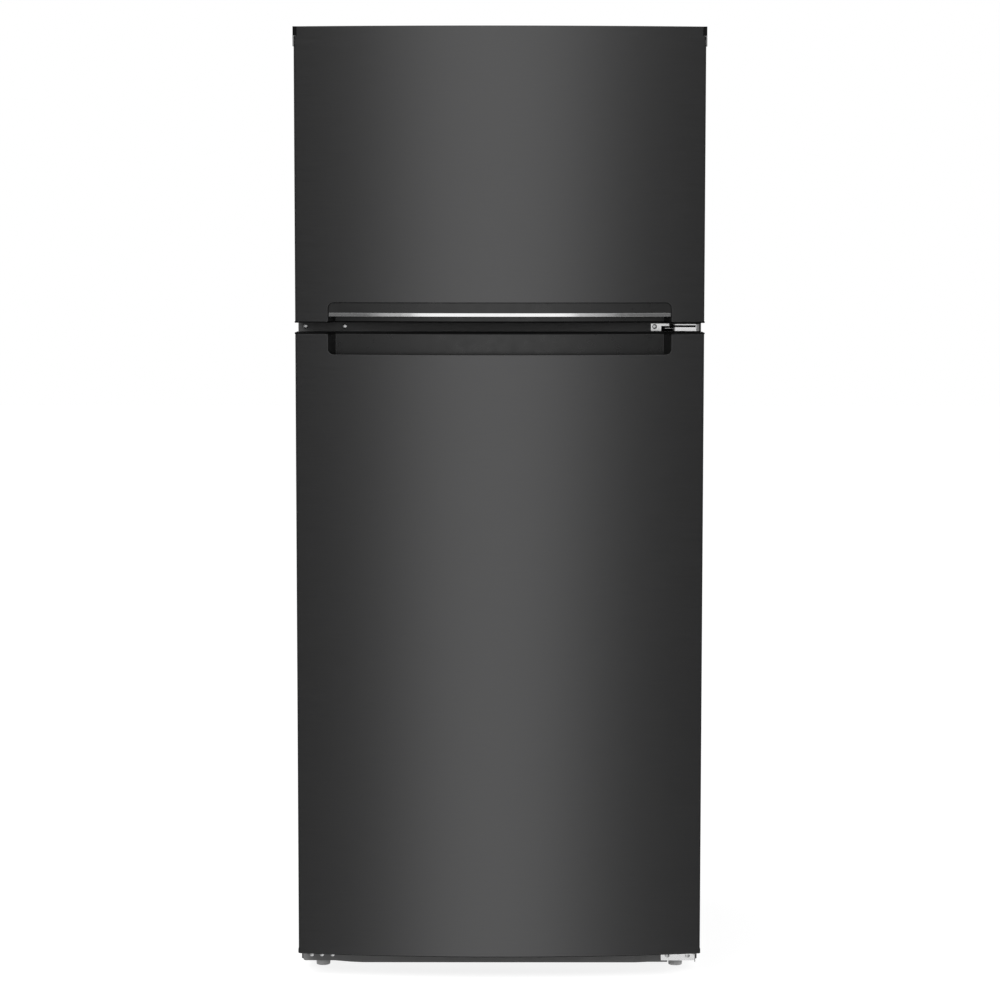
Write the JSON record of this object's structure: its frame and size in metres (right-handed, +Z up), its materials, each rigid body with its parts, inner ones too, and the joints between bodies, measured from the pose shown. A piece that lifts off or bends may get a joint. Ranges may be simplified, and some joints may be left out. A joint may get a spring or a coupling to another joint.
{
  "type": "top freezer refrigerator",
  "caption": "Free-standing refrigerator with a freezer above, bowed dark steel doors hinged on the right, pocket handles, shelves, crisper drawers and a rear condenser",
  "frame": {"origin": "on the floor, below the middle of the overall box", "axes": "+Z up, -Y out of the doors, +X towards the hinge side"},
  "size_m": [0.711, 0.72, 1.664],
  "materials": {
    "door_steel": "satin",
    "cabinet_paint": "matte",
    "mullion_paint": "satin",
    "grille_plastic": "matte",
    "zinc_sheet": "satin",
    "hinge_steel": "satin",
    "screw_steel": "polished",
    "foam": "matte",
    "liner_white": "satin",
    "clear_plastic": "gloss",
    "shelf_glass": "polished",
    "lamp_lens": "satin",
    "gasket_rubber": "matte",
    "cap_plastic": "matte",
    "handle_plastic": "satin",
    "chrome_trim": "polished",
    "bush_nylon": "satin",
    "knob_plastic": "satin",
    "foot_plastic": "matte",
    "roller_plastic": "matte",
    "compressor_paint": "gloss",
    "mount_rubber": "matte",
    "coil_paint": "satin",
    "evaporator_aluminium": "satin",
    "heater_tube": "satin",
    "pan_plastic": "matte",
    "wire_coat": "gloss",
    "motor_plastic": "matte",
    "fan_plastic": "satin"
  },
  "bodies": {
    "cabinet": {"cabinet_shell": "cabinet_paint", "back_panel": "zinc_sheet", "base_deck": "zinc_sheet", "cord_gland": "mount_rubber", "cabinet_foam": "foam", "freezer_liner": "liner_white", "fridge_liner": "liner_white", "mullion_rail": "mullion_paint", "base_grille": "grille_plastic", "top_hinge": "hinge_steel", "top_hinge_cover": "cap_plastic", "centre_hinge": "hinge_steel", "bottom_hinge": "hinge_steel", "cabinet_screws": "screw_steel", "freezer_shelf": "wire_coat", "evaporator_cover": "liner_white", "evaporator_coil": "evaporator_aluminium", "defrost_heater": "heater_tube", "evaporator_fan_motor": "motor_plastic", "control_box": "liner_white", "light_lens": "lamp_lens", "lower_shelf_frame": "liner_white", "upper_shelf_frame": "liner_white", "crisper_cover_frame": "liner_white", "shelf_glass": "shelf_glass", "compressor": "compressor_paint", "compressor_mounts": "mount_rubber", "drain_pan": "pan_plastic", "condenser_coil": "coil_paint"},
    "freezer_door": {"freezer_door_skin": "door_steel", "freezer_door_core": "foam", "freezer_door_liner": "liner_white", "freezer_door_gasket": "gasket_rubber", "freezer_door_top_cap": "cap_plastic", "freezer_door_bottom_cap": "cap_plastic", "freezer_handle": "handle_plastic", "freezer_handle_trim": "chrome_trim", "freezer_door_bins": "clear_plastic", "freezer_door_bushes": "bush_nylon"},
    "fridge_door": {"fridge_door_skin": "door_steel", "fridge_door_core": "foam", "fridge_door_liner": "liner_white", "fridge_door_gasket": "gasket_rubber", "fridge_door_top_cap": "cap_plastic", "fridge_door_bottom_cap": "cap_plastic", "fridge_handle": "handle_plastic", "fridge_door_bushes": "bush_nylon", "lower_door_bin": "clear_plastic", "middle_door_bin": "clear_plastic", "upper_door_bin": "clear_plastic"},
    "evaporator_fan": {"evaporator_fan": "fan_plastic"},
    "freezer_knob": {"freezer_knob": "knob_plastic"},
    "fridge_knob": {"fridge_knob": "knob_plastic"},
    "light_switch": {"light_switch": "knob_plastic"},
    "left_crisper": {"left_crisper": "clear_plastic"},
    "right_crisper": {"right_crisper": "clear_plastic"},
    "left_foot": {"left_foot": "foot_plastic"},
    "right_foot": {"right_foot": "foot_plastic"},
    "left_roller": {"left_roller": "roller_plastic"},
    "right_roller": {"right_roller": "roller_plastic"}
  },
  "joints": [
    {"name": "freezer_door_hinge", "type": "hinge", "parent": "cabinet", "child": "freezer_door", "pos_m": [0.34, -0.306, 1.648], "axis": [0, 0, 1], "range_deg": [0, 125]},
    {"name": "fridge_door_hinge", "type": "hinge", "parent": "cabinet", "child": "fridge_door", "pos_m": [0.34, -0.306, 0.045], "axis": [0, 0, 1], "range_deg": [0, 125]},
    {"name": "left_crisper_slide", "type": "slide", "parent": "cabinet", "child": "left_crisper", "axis": [0, -1, 0], "range_m": [0, 0.2]},
    {"name": "right_crisper_slide", "type": "slide", "parent": "cabinet", "child": "right_crisper", "axis": [0, -1, 0], "range_m": [0, 0.2]},
    {"name": "light_switch_slide", "type": "slide", "parent": "cabinet", "child": "light_switch", "axis": [0, -1, 0], "range_m": [0, 0.008]},
    {"name": "fridge_knob_turn", "type": "hinge", "parent": "cabinet", "child": "fridge_knob", "pos_m": [0.11, -0.11, 1.0875], "axis": [0, 1, 0], "range_deg": [0, 270]},
    {"name": "freezer_knob_turn", "type": "hinge", "parent": "cabinet", "child": "freezer_knob", "pos_m": [0.2035, 0.202, 1.539], "axis": [0, 1, 0], "range_deg": [0, 270]},
    {"name": "evaporator_fan_spin", "type": "hinge", "parent": "cabinet", "child": "evaporator_fan", "pos_m": [0, 0.2075, 1.494], "axis": [0, 1, 0], "continuous": true},
    {"name": "left_foot_turn", "type": "hinge", "parent": "cabinet", "child": "left_foot", "pos_m": [-0.3165, -0.227, 0], "axis": [0, 0, 1], "continuous": true},
    {"name": "left_roller_spin", "type": "hinge", "parent": "cabinet", "child": "left_roller", "pos_m": [-0.3005, 0.287, 0.016], "axis": [1, 0, 0], "continuous": true},
    {"name": "right_foot_turn", "type": "hinge", "parent": "cabinet", "child": "right_foot", "pos_m": [0.3165, -0.227, 0], "axis": [0, 0, 1], "continuous": true},
    {"name": "right_roller_spin", "type": "hinge", "parent": "cabinet", "child": "right_roller", "pos_m": [0.3005, 0.287, 0.016], "axis": [1, 0, 0], "continuous": true}
  ],
  "couplings": [
    {"joint": "left_crisper_slide", "follows": "fridge_door_hinge", "m_per_rad": 0.0916},
    {"joint": "right_crisper_slide", "follows": "fridge_door_hinge", "m_per_rad": 0.0916},
    {"joint": "light_switch_slide", "follows": "fridge_door_hinge", "m_per_rad": 0.0036}
  ]
}
